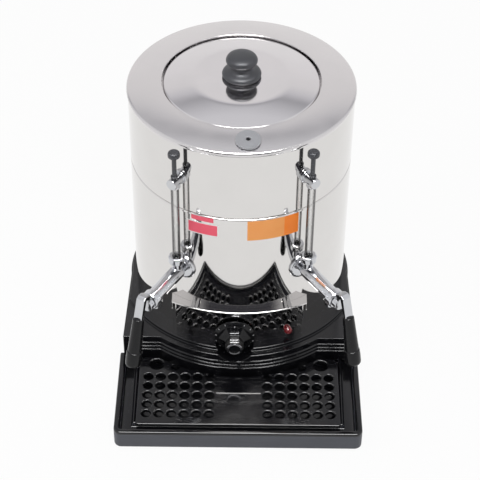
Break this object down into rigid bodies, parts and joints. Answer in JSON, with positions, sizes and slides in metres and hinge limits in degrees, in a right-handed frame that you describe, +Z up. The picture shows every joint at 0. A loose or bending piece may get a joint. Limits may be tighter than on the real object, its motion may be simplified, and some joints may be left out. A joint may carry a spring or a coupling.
{
  "type": "coffee urn",
  "caption": "Round polished-steel coffee urn with a water jacket and inner pot, lever taps with sight gauges, thermostat dial, lift-off lid and a black drip-tray base.",
  "frame": {"origin": "middle of the footprint, on the floor under the feet", "axes": "+Z up, -Y towards the user and the taps, +X to the user's right"},
  "size_m": [0.276, 0.385, 0.3618],
  "materials": {
    "black_gloss_plastic": "glossy moulded",
    "black_satin_plastic": "satin phenolic",
    "polished_steel": "mirror polished",
    "chrome": "bright plated",
    "brass": "turned",
    "zinc_plate": "zinc plated",
    "steel_fastener": "bright",
    "element_metal": "dull oxidised",
    "rubber": "matte",
    "white_plastic": "matte",
    "thermostat_case": "matte phenolic",
    "grey_cap": "matte",
    "silver_trim": "satin",
    "red_lens": "clear red",
    "sight_glass": "clear"
  },
  "bodies": {
    "urn": {"base_moulding": "black_gloss_plastic", "tray_moulding": "black_gloss_plastic", "base_plate": "zinc_plate", "base_screws": "steel_fastener", "rubber_feet": "rubber", "cord_gland": "black_satin_plastic", "terminal_block": "white_plastic", "inner_leads": "white_plastic", "control_panel": "polished_steel", "panel_trim": "polished_steel", "thermostat_body": "thermostat_case", "thermostat_nut": "steel_fastener", "pilot_lamp_body": "black_satin_plastic", "pilot_lamp_lens": "red_lens", "lower_shell": "polished_steel", "upper_shell": "polished_steel", "top_ring": "polished_steel", "tank_floor": "polished_steel", "inner_pot": "polished_steel", "heating_element": "element_metal", "element_nuts": "brass", "probe_pocket": "brass", "coffee_pipe": "polished_steel", "left_tap_body": "chrome", "left_tap_flange": "chrome", "left_tap_lock_nut": "brass", "left_bonnet_nut": "chrome", "left_gland_nut": "chrome", "left_gland_seal": "rubber", "left_sight_tube": "sight_glass", "left_gauge_arm": "chrome", "left_gauge_arm_nut": "brass", "right_tap_body": "chrome", "right_tap_flange": "chrome", "right_tap_lock_nut": "brass", "right_bonnet_nut": "chrome", "right_gland_nut": "chrome", "right_gland_seal": "rubber", "right_sight_tube": "sight_glass", "right_gauge_arm": "chrome", "right_gauge_arm_nut": "brass"},
    "lid": {"lid": "polished_steel", "lid_knob": "black_satin_plastic", "lid_knob_screw": "steel_fastener"},
    "drip_grille": {"drip_grille": "black_gloss_plastic"},
    "thermostat_dial": {"thermostat_shaft": "steel_fastener", "thermostat_knob": "black_satin_plastic", "knob_disc": "silver_trim"},
    "filler_cap": {"filler_cap": "grey_cap"},
    "left_lever": {"left_valve_rotor": "brass", "left_tap_lever": "chrome", "left_lever_grip": "black_satin_plastic"},
    "left_plug": {"left_gauge_plug": "black_satin_plastic"},
    "right_lever": {"right_valve_rotor": "brass", "right_tap_lever": "chrome", "right_lever_grip": "black_satin_plastic"},
    "right_plug": {"right_gauge_plug": "black_satin_plastic"}
  },
  "joints": [
    {"name": "lid_lift", "type": "slide", "parent": "urn", "child": "lid", "axis": [0, 0, 1], "range_m": [0, 0.15]},
    {"name": "grille_lift", "type": "slide", "parent": "urn", "child": "drip_grille", "axis": [0, -0.342, 0.9397], "range_m": [0, 0.05]},
    {"name": "thermostat_turn", "type": "hinge", "parent": "urn", "child": "thermostat_dial", "pos_m": [-0.005, -0.0811, 0.068], "axis": [0, 1, 0], "range_deg": [0, 270]},
    {"name": "filler_cap_lift", "type": "slide", "parent": "urn", "child": "filler_cap", "axis": [0.0085, -0.1217, 0.9925], "range_m": [0, 0.03]},
    {"name": "left_lever_turn", "type": "hinge", "parent": "urn", "child": "left_lever", "pos_m": [-0.09816, -0.11414, 0.1515], "axis": [0.5075, 0.8616, 0], "range_deg": [0, 90]},
    {"name": "left_plug_lift", "type": "slide", "parent": "urn", "child": "left_plug", "axis": [0, 0, 1], "range_m": [0, 0.04]},
    {"name": "right_lever_turn", "type": "hinge", "parent": "urn", "child": "right_lever", "pos_m": [0.10675, -0.10877, 0.1515], "axis": [0.5519, -0.8339, 0], "range_deg": [0, 90]},
    {"name": "right_plug_lift", "type": "slide", "parent": "urn", "child": "right_plug", "axis": [0, 0, 1], "range_m": [0, 0.04]}
  ]
}
